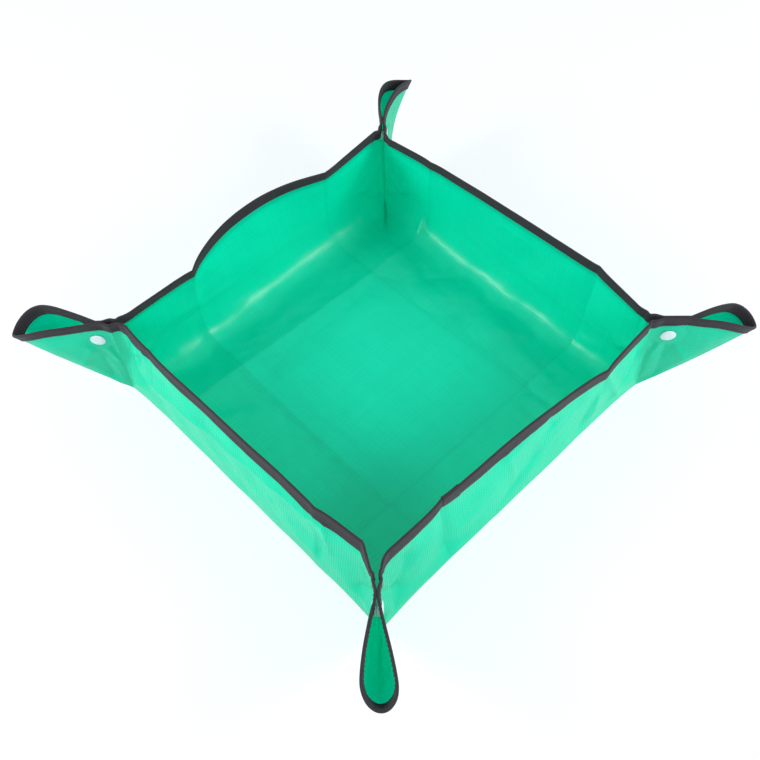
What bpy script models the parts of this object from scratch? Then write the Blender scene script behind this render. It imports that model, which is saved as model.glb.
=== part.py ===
"""A square repotting mat of woven plastic sheet, snapped up at its corners into a tray.

One square of sheet is bound all round with a folded tape. Four folds make the floor and
four walls. Each corner square is folded in half along its diagonal and held by a press
snap, so that it stands out from the tray as a round, cone-shaped ear. Every panel between
two folds is its own piece and turns on its fold. Units are metres, +Z is up, and the
origin is under the middle of the floor.
"""
import math

import bpy
from mathutils import Matrix, Vector

# Sheet
SHEET_SIDE = 0.500
SHEET_THICKNESS = 0.0005
CORNER_RADIUS = 0.056
WALL_HEIGHT = 0.096
FLOOR_HALF = SHEET_SIDE / 2 - WALL_HEIGHT
CREASE_SHARE = SHEET_SIDE / 6 / FLOOR_HALF
FOLD_CLEARANCE = 0.00045

# Binding tape, folded over the edge of the sheet
TAPE_WIDTH = 0.0095
TAPE_THICKNESS = 0.0005
TAPE_GAP = 0.00035
TAPE_END = 0.0008
EDGE_INSET = 0.0007
TAPE_OVERHANG = 0.0002
LAP_LENGTH = 0.016
LAP_SHARE = -0.47

# Ears. Shares run from the wall's fold (0) to the ear's own fold (1)
NECK_LEAN = math.radians(2.6)
NECK_SHARE = 0.33
WIDEST_SHARE = 0.76
WIDEST_RATIO = 0.122
LAYER_GAP = 0.0004
EAR_HALF_GAP = 0.00015
EAR_INNER_RADIUS = 0.006
RIDGE_SETBACK = 0.0014

# Press snaps, on an axis square to the ear's middle plane
SNAP_HEIGHT = 0.076
SNAP_OUTWARD = 0.011
SNAP_LAYER = 0.00245
PAD_RADIUS = 0.0098
PAD_FADE = 0.005
CAP_RADIUS = 0.0062
CAP_THICKNESS = 0.0013
DISC_RADIUS = 0.0053
POST_RADIUS = 0.00095
RIVET_RADIUS = 0.0014
RIVET_LEVEL = 0.00085
SHEET_HOLE_RADIUS = 0.0013
SNAP_GAP = 0.00015
SNAP_SIDES = 16

# How far each wall bows out from its fold at the rim: at its two creases, at the top of
# the arch between them, and in the stretch next to each corner. Minus is inwards.
WALL_BOWS = {
    "south": {"creases": (-0.004, -0.006), "arch": -0.002, "ends": (-0.002, -0.012)},
    "east": {"creases": (-0.007, 0.005), "arch": -0.003, "ends": (-0.008, -0.002)},
    "north": {"creases": (0.007, -0.002), "arch": 0.001, "ends": (0.002, -0.002)},
    "west": {"creases": (-0.007, -0.007), "arch": 0.022, "ends": (-0.002, -0.002)},
}
BOW_POWER = 1.5

# Each wall's outward direction. Along a wall, plus runs anticlockwise seen from above
WALLS = {
    "south": Vector((0, -1, 0)),
    "east": Vector((1, 0, 0)),
    "north": Vector((0, 1, 0)),
    "west": Vector((-1, 0, 0)),
}
CORNERS = {
    "se": ("south", "east"),
    "ne": ("east", "north"),
    "nw": ("north", "west"),
    "sw": ("west", "south"),
}
UP = Vector((0, 0, 1))

EAR_SECTOR = math.pi / 4 + NECK_LEAN
MATERIALS = {
    "green_sheet": ((0.008, 0.62, 0.33), 0.38),
    "black_tape": ((0.022, 0.024, 0.026), 0.75),
    "white_plastic": ((0.78, 0.80, 0.80), 0.30),
}


def clear_scene():
    for item in list(bpy.data.objects):
        bpy.data.objects.remove(item, do_unlink=True)


def new_collection(name):
    collection = bpy.data.collections.new(name)
    bpy.context.scene.collection.children.link(collection)
    return collection


def new_material(name):
    color, roughness = MATERIALS[name]
    material = bpy.data.materials.new(name)
    material.use_nodes = True
    shader = material.node_tree.nodes["Principled BSDF"]
    shader.inputs["Base Color"].default_value = (*color, 1)
    shader.inputs["Roughness"].default_value = roughness
    shader.inputs["Metallic"].default_value = 0
    return material


def new_empty(name, location, parent):
    empty = bpy.data.objects.new(name, None)
    empty.empty_display_size = 0.02
    PARTS.objects.link(empty)
    empty.location = location - (Vector() if parent is None else world_of(parent))
    empty.parent = parent
    return empty


def world_of(item):
    place = Vector(item.location)
    while item.parent is not None:
        item = item.parent
        place += item.location
    return place


def smooth(value):
    value = min(1.0, max(0.0, value))
    return value * value * (3 - 2 * value)


def along_of(outward):
    """The direction along a wall, a quarter turn anticlockwise from its outward one."""
    return Vector((-outward.y, outward.x, 0))


def wall_bow(name, along):
    """How far a wall's rim stands out from its fold, at a distance along it."""
    bow = WALL_BOWS[name]
    share = max(-1.0, min(1.0, along / FLOOR_HALF))
    first, second = bow["creases"]
    if abs(share) <= CREASE_SHARE:
        between = (share / CREASE_SHARE + 1) / 2
        return first + (second - first) * between + bow["arch"] * (1 - (2 * between - 1) ** 2)
    past = (abs(share) - CREASE_SHARE) / (1 - CREASE_SHARE)
    crease, end = (first, bow["ends"][0]) if share < 0 else (second, bow["ends"][1])
    return crease * (1 - past) + end * 4 * past * (1 - past)


def wall_point(name, share, depth):
    """A point of a wall, by its share of the length and its depth below the rim."""
    outward = WALLS[name]
    risen = WALL_HEIGHT - depth
    half = FLOOR_HALF - risen * math.tan(NECK_LEAN) - FOLD_CLEARANCE / math.cos(NECK_LEAN)
    bow = wall_bow(name, share * FLOOR_HALF)
    out = bow * max(0.0, risen / WALL_HEIGHT) ** BOW_POWER
    height = risen * math.sqrt(1 - (bow / WALL_HEIGHT) ** 2)
    base = outward * (FLOOR_HALF + out) + along_of(outward) * (share * half)
    return base + UP * (height + SHEET_THICKNESS / 2)


class EarHalf:
    """One half of an ear: the sector of sheet between a wall's fold and the ear's fold."""

    def __init__(self, corner, wall):
        first, second = CORNERS[corner]
        outward = WALLS[wall]
        side = 1 if wall == first else -1
        toward = along_of(outward) * side
        self.name = f"{corner}_{wall}"
        self.origin = (WALLS[first] + WALLS[second]) * FLOOR_HALF + UP * (SHEET_THICKNESS / 2)
        self.out = (outward + toward).normalized()
        self.normal = (outward - toward).normalized()
        self.fold = UP * math.cos(NECK_LEAN) - toward * math.sin(NECK_LEAN)
        # The lean of the ear's own fold that keeps the flat sector's angle
        level = math.cos(NECK_LEAN)
        tilt = math.sin(NECK_LEAN) / math.sqrt(2)
        lean = math.acos(math.cos(EAR_SECTOR) / math.hypot(level, tilt)) - math.atan2(tilt, level)
        self.ridge = self.out * math.sin(lean) + UP * math.cos(lean)
        self.across = (self.ridge - self.fold * math.cos(EAR_SECTOR)) / math.sin(EAR_SECTOR)
        self.turn_sign = side
        plane = self.fold.cross(self.ridge).normalized() * side
        self.turn = math.acos(max(-1.0, min(1.0, plane.dot(outward) * -1)))
        self.turn = min(self.turn, math.pi - self.turn)
        self.snap = self.origin + self.out * SNAP_OUTWARD + UP * SNAP_HEIGHT

    def ratio(self, share):
        """The cone's half width over its length, at a share of the sector."""
        neck = math.sin(NECK_LEAN) / math.sqrt(2)
        if share <= WIDEST_SHARE:
            rise = smooth((share - NECK_SHARE) / (WIDEST_SHARE - NECK_SHARE))
            return neck + (WIDEST_RATIO - neck) * rise
        past = min(1.0, (share - WIDEST_SHARE) / (1 - WIDEST_SHARE))
        return WIDEST_RATIO * math.sqrt(1 - past * past)

    def point(self, share, depth=None, reach=None):
        """A point by its share of the sector, and its depth in from the edge of the sheet
        or its reach between the inner radius and a depth."""
        edge = edge_radius(EAR_SECTOR * share - NECK_LEAN, depth)
        radius = edge if reach is None else EAR_INNER_RADIUS + (edge - EAR_INNER_RADIUS) * reach
        start = math.asin(FOLD_CLEARANCE / radius)
        end = EAR_SECTOR - math.asin(RIDGE_SETBACK / radius)
        angle = start + (end - start) * share
        flat = self.fold * math.cos(angle) + self.across * math.sin(angle)
        flat *= radius
        neck = math.sin(NECK_LEAN) / math.sqrt(2)
        late = smooth((share - 0.6) / 0.3)
        least = EAR_HALF_GAP * late + max(0.0, LAYER_GAP - radius * neck) * (1 - late)
        width = radius * self.ratio(share) + least
        place = self.origin + flat
        off = place - self.snap
        away = math.hypot(off.dot(self.out), off.z)
        pad = 1 - smooth((away - PAD_RADIUS) / PAD_FADE)
        width += (SNAP_LAYER - width) * pad
        return place + self.normal * (width - flat.dot(self.normal))


def edge_radius(angle, depth):
    """Distance from a tray corner to the sheet's edge less a depth, at an angle from the
    line square to the wall. The sheet's own corner is at 45 degrees, and is rounded."""
    middle = WALL_HEIGHT - CORNER_RADIUS
    straight = (WALL_HEIGHT - depth) / math.cos(angle)
    if straight * math.sin(angle) <= middle:
        return straight
    off = math.pi / 4 - angle
    reach = middle * math.sqrt(2)
    radius = CORNER_RADIUS - depth
    return reach * math.cos(off) + math.sqrt(radius ** 2 - (reach * math.sin(off)) ** 2)


def grid_mesh(name, rows, folded=False):
    """An open surface through a grid of points. Each face starts at the corner whose
    diagonal runs the same way on the sheet and on both legs of a folded tape."""
    wide = len(rows[0])
    points = [point for row in rows for point in row]
    faces = []
    for r in range(len(rows) - 1):
        for c in range(wide - 1):
            first = r * wide + c
            face = [first, first + 1, first + wide + 1, first + wide]
            if folded and c < wide / 2 - 1:
                face = face[1:] + face[:1]
            faces.append(face)
    mesh = bpy.data.meshes.new(name)
    mesh.from_pydata(points, [], faces)
    mesh.update()
    return mesh


def add_part(name, mesh, material, parent, location=None, turned=None):
    """A named part. Its mesh is in world places unless a location is given."""
    part = bpy.data.objects.new(name, mesh)
    PARTS.objects.link(part)
    mesh.materials.append(material)
    mesh.shade_smooth()
    mesh.set_sharp_from_angle(angle=math.radians(35))
    start = Vector() if parent is None else world_of(parent)
    if location is None:
        mesh.transform(Matrix.Translation(-start))
    else:
        part.location = location - start
    if turned is not None:
        part.rotation_euler = turned.to_euler()
    part.parent = parent
    return part


def thicken(part, thickness):
    shell = part.modifiers.new("thickness", "SOLIDIFY")
    shell.thickness = thickness
    shell.offset = 0
    shell.use_even_offset = True
    return shell


def slope(get, at, step, low, high):
    """The direction in which a point moves as one of its coordinates grows."""
    return get(min(high, at + step)) - get(max(low, at - step))


def tape_rows(point, shares, depths):
    """Rows of a folded tape: down one face of the sheet, round its edge, up the other.
    point gives a place on the sheet from a share along the edge and a depth."""
    offset = SHEET_THICKNESS / 2 + TAPE_GAP + TAPE_THICKNESS / 2
    rows = []
    for share in shares:
        def by_share(value):
            return point(value, depths[1])

        def by_depth(value):
            return point(share, value)

        along = slope(by_share, share, 0.002, shares[0], shares[-1])
        inward = slope(by_depth, depths[1], 0.001, 0, TAPE_WIDTH)
        normal = along.cross(inward).normalized()
        edge = point(share, -TAPE_OVERHANG)
        row = [point(share, depth) + normal * offset for depth in depths[::-1]]
        row += [edge + normal * (offset * 0.55), edge - normal * (offset * 0.55)]
        row += [point(share, depth) - normal * offset for depth in depths]
        rows.append(row)
    return rows


def spread(low, high, count):
    return [low + (high - low) * step / (count - 1) for step in range(count)]


def wall_shares():
    """Columns along a wall, with one on each crease."""
    outer = spread(-1, -CREASE_SHARE, 7)
    inner = spread(-CREASE_SHARE, CREASE_SHARE, 12)
    return outer[:-1] + inner + [-share for share in outer[::-1]][1:]


def ear_shares():
    """Columns across an ear half, closer together round the ear's own fold."""
    neck = spread(0, NECK_SHARE, 4)
    rise = spread(NECK_SHARE, WIDEST_SHARE, 6)
    close = [
        WIDEST_SHARE + (1 - WIDEST_SHARE) * math.sin(step / 5 * math.pi / 2) for step in range(6)
    ]
    return neck[:-1] + rise[:-1] + close


def make_floor(material):
    side = (FLOOR_HALF - FOLD_CLEARANCE) * 2
    bpy.ops.mesh.primitive_plane_add(size=side)
    floor = bpy.context.object
    mesh = floor.data
    bpy.data.objects.remove(floor, do_unlink=True)
    mesh.transform(Matrix.Translation(UP * SHEET_THICKNESS / 2))
    thicken(add_part("sheet_floor", mesh, material, None), SHEET_THICKNESS)


def make_wall(name, hinge, green, black):
    shares = wall_shares()
    foot = WALL_HEIGHT - FOLD_CLEARANCE
    depths = [EDGE_INSET, TAPE_WIDTH, 0.032, 0.060, foot]
    rows = [[wall_point(name, share, depth) for share in shares] for depth in depths]
    sheet = add_part(f"sheet_wall_{name}", grid_mesh("wall", rows), green, hinge)
    thicken(sheet, SHEET_THICKNESS)

    def place(share, depth):
        return wall_point(name, share, depth)

    end = TAPE_END / FLOOR_HALF
    ends = [-1 + end] + shares[1:-1] + [1 - end]
    rows = tape_rows(place, ends, [EDGE_INSET, TAPE_WIDTH])
    tape = add_part(f"tape_wall_{name}", grid_mesh("tape", rows, True), black, hinge)
    thicken(tape, TAPE_THICKNESS)
    if name == "east":
        make_lap(place, hinge, black)


def make_lap(place, hinge, black):
    """The end of the tape, lapped over its beginning and sewn down."""
    step = TAPE_THICKNESS + TAPE_GAP
    half = LAP_LENGTH / 2 / FLOOR_HALF

    def raised(share, depth):
        return place(share, depth - step)

    shares = spread(LAP_SHARE - half, LAP_SHARE + half, 3)
    rows = tape_rows(raised, shares, [EDGE_INSET, TAPE_WIDTH])
    for row in rows:
        middle = sum(row, Vector()) / len(row)
        across = (row[0] - row[-1]).normalized()
        for index, point in enumerate(row):
            row[index] = point + across * (step if (point - middle).dot(across) > 0 else -step)
    lap = add_part("tape_lap", grid_mesh("lap", rows, True), black, hinge)
    thicken(lap, TAPE_THICKNESS)


def make_ear(ear, hinge, green, black):
    shares = ear_shares()
    reaches = [0, 0.14, 0.32, 0.52, 0.69, 0.785, 0.885, 1]
    rows = [[ear.point(share, EDGE_INSET, reach) for share in shares] for reach in reaches]
    sheet = add_part(f"sheet_ear_{ear.name}", grid_mesh("ear", rows), green, hinge)
    thicken(sheet, SHEET_THICKNESS)
    hole = sheet.modifiers.new("snap hole", "BOOLEAN")
    hole.object = make_cutter(ear)
    hole.operation = "DIFFERENCE"
    hole.solver = "EXACT"

    begin = TAPE_END / (WALL_HEIGHT * EAR_SECTOR)
    rows = tape_rows(ear.point, [begin] + shares[1:], [EDGE_INSET, TAPE_WIDTH])
    tape = add_part(f"tape_ear_{ear.name}", grid_mesh("tape", rows, True), black, hinge)
    thicken(tape, TAPE_THICKNESS)


def snap_axis(ear):
    """A turn that takes +Z to the direction from the ear's middle plane to its half."""
    return UP.rotation_difference(ear.normal).to_matrix()


def make_cutter(ear):
    bpy.ops.mesh.primitive_cylinder_add(vertices=12, radius=SHEET_HOLE_RADIUS, depth=0.004)
    cutter = bpy.context.object
    cutter.name = f"snap_hole_{ear.name}"
    for collection in list(cutter.users_collection):
        collection.objects.unlink(cutter)
    CUTTERS.objects.link(cutter)
    cutter.location = ear.snap + ear.normal * SNAP_LAYER
    cutter.rotation_euler = snap_axis(ear).to_euler()
    cutter.hide_render = True
    cutter.display_type = "WIRE"
    return cutter


def turned_part(name, profile, ear, material, hinge, closed):
    """A turned piece on the snap's axis. The profile runs from its top down its outer side,
    as pairs of radius and distance from the ear's middle plane."""
    mesh = bpy.data.meshes.new(name)
    points = [(radius, 0, height) for radius, height in profile]
    edges = [(step, step + 1) for step in range(len(points) - 1)]
    if closed:
        edges.append((len(points) - 1, 0))
    mesh.from_pydata(points, edges, [])
    part = add_part(name, mesh, material, hinge, ear.snap, snap_axis(ear))
    screw = part.modifiers.new("turn", "SCREW")
    screw.steps = SNAP_SIDES
    screw.render_steps = SNAP_SIDES
    screw.use_merge_vertices = True
    screw.merge_threshold = 0.00001
    screw.use_smooth_shade = True
    return part


def make_cap(ear, material, hinge):
    """The round outer button, with the post that goes through the sheet to its mate."""
    under = SNAP_LAYER + SHEET_THICKNESS / 2 + SNAP_GAP
    top = under + CAP_THICKNESS
    profile = [
        (0, top),
        (CAP_RADIUS * 0.55, top - 0.00012),
        (CAP_RADIUS * 0.88, top - 0.00045),
        (CAP_RADIUS, top - 0.00095),
        (CAP_RADIUS, under),
        (POST_RADIUS, under),
        (POST_RADIUS, RIVET_LEVEL),
        (RIVET_RADIUS, RIVET_LEVEL - 0.00005),
        (RIVET_RADIUS, RIVET_LEVEL - 0.00018),
        (0, RIVET_LEVEL - 0.00025),
    ]
    turned_part(f"snap_cap_{ear.name}", profile, ear, material, hinge, False)


def make_stud(ear, material, hinge):
    """The inner disc with a hollow boss."""
    seat = SNAP_LAYER - SHEET_THICKNESS / 2 - SNAP_GAP
    profile = [
        (DISC_RADIUS - 0.0003, seat),
        (DISC_RADIUS, seat - 0.0003),
        (DISC_RADIUS, 0.00085),
        (0.0021, 0.00085),
        (0.0021, -0.0003),
        (0.0019, -0.00045),
        (0.0017, -0.00045),
        (0.0017, 0.00095),
        (0.00125, 0.0011),
        (0.00125, seat),
    ]
    turned_part(f"snap_stud_{ear.name}", profile, ear, material, hinge, True)


def make_socket(ear, material, hinge):
    """The inner disc with the well that takes the boss."""
    seat = SNAP_LAYER - SHEET_THICKNESS / 2 - SNAP_GAP
    profile = [
        (DISC_RADIUS - 0.0003, seat),
        (DISC_RADIUS, seat - 0.0003),
        (DISC_RADIUS, -0.0001),
        (DISC_RADIUS - 0.0005, -0.0005),
        (0.0026, -0.0005),
        (0.0024, -0.0002),
        (0.0024, 0.0011),
        (0.00125, 0.0012),
        (0.00125, seat),
    ]
    turned_part(f"snap_socket_{ear.name}", profile, ear, material, hinge, True)


def build():
    green, black, white = (new_material(name) for name in MATERIALS)
    make_floor(green)
    hinges = {}
    for name, outward in WALLS.items():
        middle = outward * FLOOR_HALF + UP * (SHEET_THICKNESS / 2)
        hinges[name] = new_empty(f"fold_{name}", middle, None)
        make_wall(name, hinges[name], green, black)
    for corner, walls in CORNERS.items():
        for wall in walls:
            ear = EarHalf(corner, wall)
            hinge = new_empty(f"fold_ear_{ear.name}", ear.origin, hinges[wall])
            make_ear(ear, hinge, green, black)
            make_cap(ear, white, hinge)
            if wall == walls[0]:
                make_stud(ear, white, hinge)
            else:
                make_socket(ear, white, hinge)
            axis = ear.fold * ear.turn_sign
            print(ear.name, "fold axis", tuple(round(value, 6) for value in axis),
                  "opens by degrees", round(math.degrees(ear.turn), 4))


clear_scene()
PARTS = new_collection("repotting_mat")
CUTTERS = new_collection("cutters")
build()
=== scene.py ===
"""The looks of the repotting mat: a woven plastic sheet snapped up into a tray.

The sheet is drawn from its flat cut: every point of the cut has a place on the floor, on a
soft cove beside it, on a wall or on the cone of an ear. Pieces that meet share the points
of their common edge. Units are metres, in the frame of the solids.

A share runs from -1 to 1 along a wall, anticlockwise from above, and from 0 at the wall's
fold to 1 at the ridge across half an ear. A rise is the way up a wall from its fold.
"""
import math

import bpy
import numpy as np
from mathutils import Euler, Matrix, Vector


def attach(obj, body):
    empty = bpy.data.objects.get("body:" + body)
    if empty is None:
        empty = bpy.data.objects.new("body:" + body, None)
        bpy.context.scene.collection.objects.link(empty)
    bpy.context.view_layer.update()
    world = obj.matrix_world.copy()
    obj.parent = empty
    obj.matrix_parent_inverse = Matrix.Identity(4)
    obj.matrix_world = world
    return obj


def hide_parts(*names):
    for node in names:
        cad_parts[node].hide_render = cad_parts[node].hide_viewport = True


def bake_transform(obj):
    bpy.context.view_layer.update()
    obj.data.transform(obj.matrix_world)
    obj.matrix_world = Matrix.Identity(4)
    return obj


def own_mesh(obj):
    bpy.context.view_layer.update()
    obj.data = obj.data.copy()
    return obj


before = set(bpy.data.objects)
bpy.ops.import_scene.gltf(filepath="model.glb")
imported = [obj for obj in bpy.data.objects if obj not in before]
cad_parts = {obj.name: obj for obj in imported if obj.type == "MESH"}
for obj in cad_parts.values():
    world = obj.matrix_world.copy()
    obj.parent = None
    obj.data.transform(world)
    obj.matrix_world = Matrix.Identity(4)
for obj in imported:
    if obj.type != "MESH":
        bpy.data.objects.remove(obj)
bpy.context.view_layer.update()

# The cut of the sheet, a square round its middle
FLOOR_HALF = 0.154
WALL_HEIGHT = 0.096
CORNER_RADIUS = 0.056
EDGE_INSET = 0.0007
REST_LEVEL = 0.00025
SHEET_THICKNESS = 0.0004
# The walls narrow upwards by this, and the ears take in as much more of the sheet
NECK_LEAN = math.radians(2.6)
EAR_SECTOR = math.pi / 4 + NECK_LEAN

# The four packing creases across the cut: where each crosses the middle, and its slant
CREASES = {
    "west": (-0.0995, 0.035),
    "east": (0.0860, 0.012),
    "south": (-0.0755, -0.012),
    "north": (0.0830, 0.020),
}
# Plus stands up inside the tray
CREASE_HEIGHTS = {"west": 0.0014, "east": -0.0011, "south": 0.0014, "north": -0.0013}
CREASE_WIDTH = 0.0060
# Half the round top of a crease
CREASE_TOP = 0.0010
# From this line out to its edges, the floor arches a little off the ground
BAND_START = 0.0833
BAND_LIFT = 0.0022

# Walls by their outward direction, and the two walls that meet at each corner
WALLS = {
    "south": (0, -1, 0),
    "east": (1, 0, 0),
    "north": (0, 1, 0),
    "west": (-1, 0, 0),
}
CORNERS = {
    "se": ("south", "east"),
    "ne": ("east", "north"),
    "nw": ("north", "west"),
    "sw": ("west", "south"),
}
# How far a rim stands out: at its two creases, in the arch between, and beside each corner.
# That last one comes with how far it is along the stretch from crease to corner, and how
# round the rim runs from there to the corner (1 is straight)
BOWS = {
    "south": {
        "creases": (-0.006, -0.009),
        "arch": 0.0,
        "ends": ((-0.009, 0.74, 2.0), (-0.014, 0.64, 1.0)),
    },
    "east": {
        "creases": (-0.010, 0.002),
        "arch": -0.004,
        "ends": ((-0.011, 0.74, 2.0), (-0.001, 0.80, 2.0)),
    },
    "north": {
        "creases": (0.007, -0.002),
        "arch": 0.001,
        "ends": ((-0.002, 0.78, 2.0), (-0.008, 0.78, 2.0)),
    },
    "west": {
        "creases": (-0.007, -0.007),
        "arch": 0.022,
        "ends": ((-0.003, 0.50, 1.0), (-0.006, 0.78, 2.0)),
    },
}
BOW_POWER = 1.2
# The stretch of rim that turns in to the snap, at each wall's two ends
TURNS = {
    "south": (0.006, 0.005),
    "east": (0.005, 0.006),
    "north": (0.006, 0.006),
    "west": (0.006, 0.006),
}
# Between floor and rim the sheet turns softly from wall to ear: the rise from which it does
# so in full, how far from the fold on the wall and on the ear, the ear's share of the turn,
# and how much of a low ear the turn may take
LOOSE_RISE = 0.03
WALL_SOFTNESS = 0.019
EAR_SOFTNESS = 0.026
EAR_TURN = 0.85
EAR_REACH = 0.55

# The soft turn between floor and wall: its size, and how far from a corner it narrows
COVES = {"south": 0.012, "east": 0.012, "north": 0.032, "west": 0.036}
COVE_TAPER = 0.050

# Relief fades out towards corners and folds. Above a tight cove it takes a longer way up the
# wall than above a wide one, and a wide cove keeps it over this share of its turn
CORNER_FADE = 0.010
WIDE_COVE = 0.030
TIGHT_FADE = 0.022
WIDE_FADE_LESS = 0.010
COVE_KEEPS = 0.55
# The binding holds the sheet's edge still
HELD_DEPTH = 0.006
HELD_FADE = 0.014
HELD_RELIEF = 0.2
# Unevenness of the sheet: seed, shortest and longest wave, how many waves, and height
RIPPLES = [
    (3, 0.030, 0.080, 14, 0.0005),
    (8, 0.009, 0.022, 26, 0.00009),
]

# Ears. The half width of both halves at the widest, over the distance from the tray's
# corner; where that is and where the neck ends, by share of the way from wall to ridge; and
# how far the tip bends to the first half's side
EARS = {
    "se": {"widest": (0.105, 0.105), "at": 0.80, "neck": 0.17, "bend": -0.003},
    "ne": {"widest": (0.060, 0.130), "at": 0.78, "neck": 0.36, "bend": -0.004},
    "nw": {"widest": (0.075, 0.085), "at": 0.80, "neck": 0.19, "bend": 0.021},
    "sw": {"widest": (0.170, 0.080), "at": 0.72, "neck": 0.15, "bend": 0.002},
}
# How full an ear is from its neck to its widest (1 is straight)
EAR_SWELL = 1.4
# The same ratio in the pinched neck, and the share over which the sheet closes to it
PINCHED = 0.0105
PINCH_SHARE = 0.10
# Relief fades out by share beside fold and ridge, and by distance at the tray's corner
EAR_FADE = 0.12
LOW_FADE = 0.02
# The bend starts this far out from the tray's corner, is whole this much further on, and
# may grow to this many times
TIP_START = 0.018
TIP_REACH = 0.06
TIP_MOST = 1.2

# Snaps: their place above and out from the tray's corner, half the way between the layers
# there, and the flat pad that a snap presses into the sheet
SNAP_HEIGHT = 0.076
SNAP_OUTWARD = 0.011
SNAP_LAYER = 0.00245
PAD_RADIUS = 0.0085
PAD_FADE = 0.008
PAD_SHARE = 0.08
CAP_SIDES = 40

# Binding
TAPE_WIDTH = 0.0095
TAPE_THICKNESS = 0.00045
TAPE_OFFSET = 0.00065
# The tape is folded off centre: its inner and outer face, by share of its width. The faces
# are even where a wall meets an ear
WALL_FACES = (0.80, 1.22)
EAR_FACES = (0.92, 0.80)
FACE_RUN = 0.14
# Across the binding: depth from the sheet's edge, and how far off the sheet's middle
TAPE_PROFILE = [
    (TAPE_WIDTH, 0.86),
    (TAPE_WIDTH - 0.0006, 1.0),
    (TAPE_WIDTH - 0.0022, 1.04),
    (0.0050, 1.02),
    (0.0030, 1.10),
    (0.0014, 1.24),
    (0.0003, 1.20),
    (-0.0003, 0.88),
    (-0.0006, 0.35),
]
# The end of the tape laps over its start on the east wall
LAP_SHARE = -0.47
LAP_LENGTH = 0.016
LAP_THICKNESS = 0.0006
# Small steps along and across the edge, which give its directions
STEP_SHARE = 0.002
STEP_DEPTH = 0.0008

STITCH_PITCH = 0.0032
STITCH_LENGTH = 0.0023
STITCH_DEPTH = 0.0072
THREAD_RADIUS = 0.00024
THREAD_SIDES = 6
# Along a stitch: share of its length, share of its radius, and how far it stands up
STITCH_SWELL = [
    (0.0, 0.45, -0.35),
    (0.18, 0.95, 0.25),
    (0.5, 1.05, 0.55),
    (0.82, 0.95, 0.25),
    (1.0, 0.45, -0.35),
]

# Creases that the sheet took in use, on the flat cut: two ends, height and half width.
# Plus stands up inside the tray
MARKS = [
    ((-0.102, 0.184), (-0.096, 0.146), 0.0016, 0.0035),
    ((-0.096, 0.180), (-0.089, 0.150), -0.0012, 0.0030),
    ((0.086, 0.160), (0.122, 0.172), 0.0014, 0.0045),
    ((-0.168, -0.202), (0.130, -0.240), -0.0021, 0.0200),
    ((-0.150, -0.204), (0.110, -0.237), -0.0006, 0.0020),
    ((-0.140, -0.226), (-0.112, -0.238), -0.0013, 0.0034),
    ((-0.132, -0.214), (-0.116, -0.246), 0.0011, 0.0024),
    ((-0.152, -0.190), (-0.138, -0.238), 0.0012, 0.0050),
    ((0.080, -0.248), (0.088, -0.176), 0.0014, 0.0030),
    ((0.092, -0.246), (0.101, -0.196), -0.0010, 0.0024),
    ((0.010, -0.176), (0.040, -0.206), -0.0008, 0.0050),
    ((0.162, 0.104), (0.236, 0.132), -0.0016, 0.0065),
    ((0.165, 0.070), (0.240, 0.096), 0.0014, 0.0060),
    ((0.170, -0.030), (0.205, 0.030), 0.0010, 0.0060),
    ((0.158, -0.142), (0.232, -0.112), 0.0016, 0.0065),
    ((0.140, -0.0775), (0.266, -0.0790), 0.0026, 0.0170),
    ((0.248, -0.016), (0.184, -0.004), -0.0012, 0.0060),
    ((0.250, 0.028), (0.218, 0.038), 0.0010, 0.0034),
    ((0.172, 0.120), (0.244, 0.090), -0.0010, 0.0030),
    ((-0.152, 0.150), (-0.196, 0.118), 0.0016, 0.0070),
    ((-0.150, 0.152), (-0.118, 0.196), 0.0016, 0.0070),
    ((-0.030, -0.060), (0.050, -0.052), 0.0004, 0.0040),
    ((0.020, 0.100), (0.060, 0.132), 0.0005, 0.0045),
    ((-0.060, 0.104), (-0.030, 0.140), -0.0005, 0.0045),
]
MARK_STRENGTH = 1.8
MARK_FADE = 0.2
# From each snap, folds run down both layers: the far end on the cut, in from the corner,
# height and half width. The second layer's are a little lower
SNAP_FOLDS = [
    ((0.012, 0.014), 0.0016, 0.0050),
    ((-0.016, 0.010), -0.0019, 0.0055),
    ((-0.034, 0.024), 0.0018, 0.0060),
    ((0.034, 0.036), -0.0014, 0.0050),
]
SECOND_LAYER = 0.8

# Finishes
WEAVE_PITCH = 0.0021
RIB_PITCH = 0.00095
WEFT_PITCH = 0.00052
TWIST_PITCH = 0.0004
SHEET_GREEN = (0.0, 0.66, 0.425, 1)
# Painted light: the lighter green of the square that lies on the ground
SHEET_PAINTED_LIT = (0.0, 0.69, 0.46, 1)
SHEET_THROUGH = (0.0, 0.90, 0.70, 1)
THROUGH_SHARE = 0.42
TAPE_BLACK = (0.008, 0.006, 0.008, 1)
TAPE_WORN = (0.036, 0.029, 0.038, 1)
THREAD_DARK = (0.018, 0.017, 0.019, 1)
THREAD_WORN = (0.060, 0.055, 0.060, 1)
RESIN_COOL = (0.52, 0.62, 0.64, 1)
RESIN_PALE = (0.60, 0.69, 0.71, 1)
GROUND_LIT = (0.88, 0.94, 0.95, 1)
GROUND_SEEN = (0.965, 0.985, 1.0, 1)
GROUND_SEEN_SHARE = 0.72
GROUND_DROP = 0.0008
GROUND_REACH = 8.0
STUDIO_LIGHT = (0.88, 0.96, 1.0, 1)
STUDIO_STRENGTH = 0.66
STUDIO_SEEN = (0.90, 0.94, 0.96, 1)

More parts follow.
